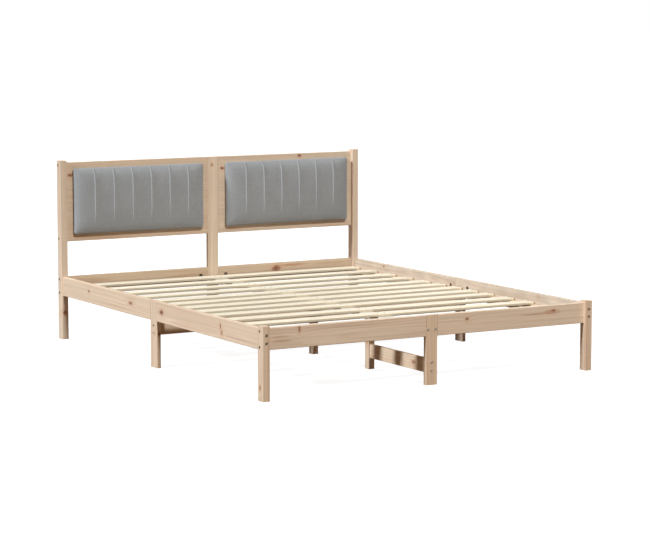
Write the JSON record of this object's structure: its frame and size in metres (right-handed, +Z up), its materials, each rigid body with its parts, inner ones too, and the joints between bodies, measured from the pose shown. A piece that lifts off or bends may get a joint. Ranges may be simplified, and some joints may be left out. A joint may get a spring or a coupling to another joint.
{
  "type": "upholstered bed frame",
  "caption": "Pine bed frame with a slatted base on posts and legs, bolted rails and a panelled headboard that carries grey cushions with stitched upright channels.",
  "frame": {"origin": "on the floor under the middle of the overall box", "axes": "+X to the right as seen from the foot, +Y towards the headboard, +Z up"},
  "size_m": [1.658, 2.07, 0.862],
  "materials": {
    "pine": "clear satin lacquer",
    "slat_pine": "planed, unfinished",
    "fabric": "woven upholstery",
    "plywood": "unfinished",
    "steel": "zinc plated"
  },
  "bodies": {
    "root": {"centre_beam_foot": "pine", "centre_beam_head": "pine", "centre_brace_foot": "pine", "centre_brace_head": "pine", "centre_leg_foot": "pine", "centre_leg_head": "pine", "centre_leg_middle": "pine", "corner_bolts": "steel", "cross_beam_left": "pine", "cross_beam_right": "pine", "cross_nuts": "steel", "cushion_backing_left": "plywood", "cushion_backing_right": "plywood", "cushion_left": "fabric", "cushion_right": "fabric", "foot_leg_centre": "pine", "foot_leg_left": "pine", "foot_leg_right": "pine", "foot_rail_left": "pine", "foot_rail_right": "pine", "frame_rods": "steel", "head_panel_left": "pine", "head_panel_right": "pine", "head_post_centre": "pine", "head_post_left": "pine", "head_post_right": "pine", "head_rail_left": "pine", "head_rail_right": "pine", "side_leg_left": "pine", "side_leg_right": "pine", "side_rail_left_foot": "pine", "side_rail_left_head": "pine", "side_rail_right_foot": "pine", "side_rail_right_head": "pine", "slat_01": "slat_pine", "slat_02": "slat_pine", "slat_03": "slat_pine", "slat_04": "slat_pine", "slat_05": "slat_pine", "slat_06": "slat_pine", "slat_07": "slat_pine", "slat_08": "slat_pine", "slat_09": "slat_pine", "slat_10": "slat_pine", "slat_11": "slat_pine", "slat_12": "slat_pine", "slat_13": "slat_pine", "slat_ledger_left_foot": "pine", "slat_ledger_left_head": "pine", "slat_ledger_right_foot": "pine", "slat_ledger_right_head": "pine"}
  },
  "joints": []
}
